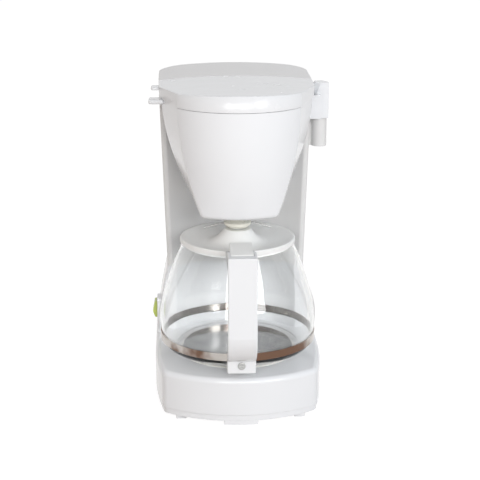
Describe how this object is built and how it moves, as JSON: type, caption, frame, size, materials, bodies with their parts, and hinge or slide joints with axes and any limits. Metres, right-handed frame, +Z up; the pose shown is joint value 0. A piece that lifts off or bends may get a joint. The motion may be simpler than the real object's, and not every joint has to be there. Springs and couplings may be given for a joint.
{
  "type": "drip coffee maker",
  "caption": "White drip coffee maker with a swing-out filter basket, glass carafe on a warming plate, water tank with lid and a lime-green rocker switch.",
  "frame": {"origin": "on the surface the machine stands on, in the mid plane of the casing and the carafe and midway between front and back; the hinge on the right reaches 7 mm further out than the switch on the left", "axes": "+Z up, -Y towards the user and the carafe's handle, +X to the machine's right as the user sees it"},
  "size_m": [0.1741, 0.25, 0.3075],
  "materials": {
    "white_plastic": "satin",
    "green_plastic": "gloss",
    "cream_plastic": "satin",
    "ceramic_block": "matte",
    "steel": "satin",
    "polished_steel": "polished",
    "plate_steel": "worn satin",
    "aluminium": "cast",
    "silicone": "satin",
    "black_rubber": "matte",
    "clear_glass": "polished",
    "wire_insulation": "satin"
  },
  "bodies": {
    "machine": {"base_housing": "white_plastic", "bottom_plate": "white_plastic", "feet": "white_plastic", "base_screws": "steel", "hot_plate": "plate_steel", "hot_plate_seal": "silicone", "heater_tube": "aluminium", "heating_element": "aluminium", "heater_clamp": "steel", "clamp_screw": "steel", "thermostat": "ceramic_block", "thermal_fuse": "ceramic_block", "inlet_hose": "silicone", "check_valve": "cream_plastic", "riser_hose": "silicone", "hose_clips": "steel", "riser_tube": "cream_plastic", "spray_arm": "cream_plastic", "shower_head": "white_plastic", "water_tank": "white_plastic", "tank_screws": "steel", "front_cover": "white_plastic", "cover_screws": "steel", "lid_hinge_pins": "steel", "holder_pin": "steel", "switch_body": "white_plastic", "cord_gland": "black_rubber", "terminal_block": "ceramic_block", "lead_wires": "wire_insulation"},
    "tank_lid": {"tank_lid": "white_plastic"},
    "filter_holder": {"filter_holder": "white_plastic", "filter_insert": "white_plastic", "valve_spring": "steel"},
    "drip_valve": {"drip_valve": "cream_plastic", "valve_seal": "silicone", "valve_feeler": "steel"},
    "carafe": {"carafe_glass": "clear_glass", "carafe_band": "polished_steel", "band_screw": "steel", "band_nut": "steel", "carafe_handle": "white_plastic", "carafe_lid_pin": "steel"},
    "carafe_lid": {"carafe_lid": "white_plastic"},
    "switch_rocker": {"switch_rocker": "green_plastic"}
  },
  "joints": [
    {"name": "tank_lid_hinge", "type": "hinge", "parent": "machine", "child": "tank_lid", "pos_m": [0, 0.122, 0.3005], "axis": [-1, 0, 0], "range_deg": [0, 95]},
    {"name": "holder_hinge", "type": "hinge", "parent": "machine", "child": "filter_holder", "pos_m": [0.0823, 0.044, 0.22], "axis": [0, 0, 1], "range_deg": [0, 95]},
    {"name": "valve_lift", "type": "slide", "parent": "filter_holder", "child": "drip_valve", "axis": [0, 0, 1], "range_m": [0, 0.0025], "stiffness_N_per_m": 300, "springref_m": -0.003, "deforming": ["valve_spring"]},
    {"name": "carafe_slide", "type": "slide", "parent": "machine", "child": "carafe", "axis": [0, -1, 0], "range_m": [0, 0.25]},
    {"name": "carafe_lid_hinge", "type": "hinge", "parent": "carafe", "child": "carafe_lid", "pos_m": [0, -0.111, 0.168], "axis": [1, 0, 0], "range_deg": [0, 0.8]},
    {"name": "switch_rock", "type": "hinge", "parent": "machine", "child": "switch_rocker", "pos_m": [-0.0762, 0.052, 0.068], "axis": [0, -1, 0], "range_deg": [0, 14]}
  ]
}
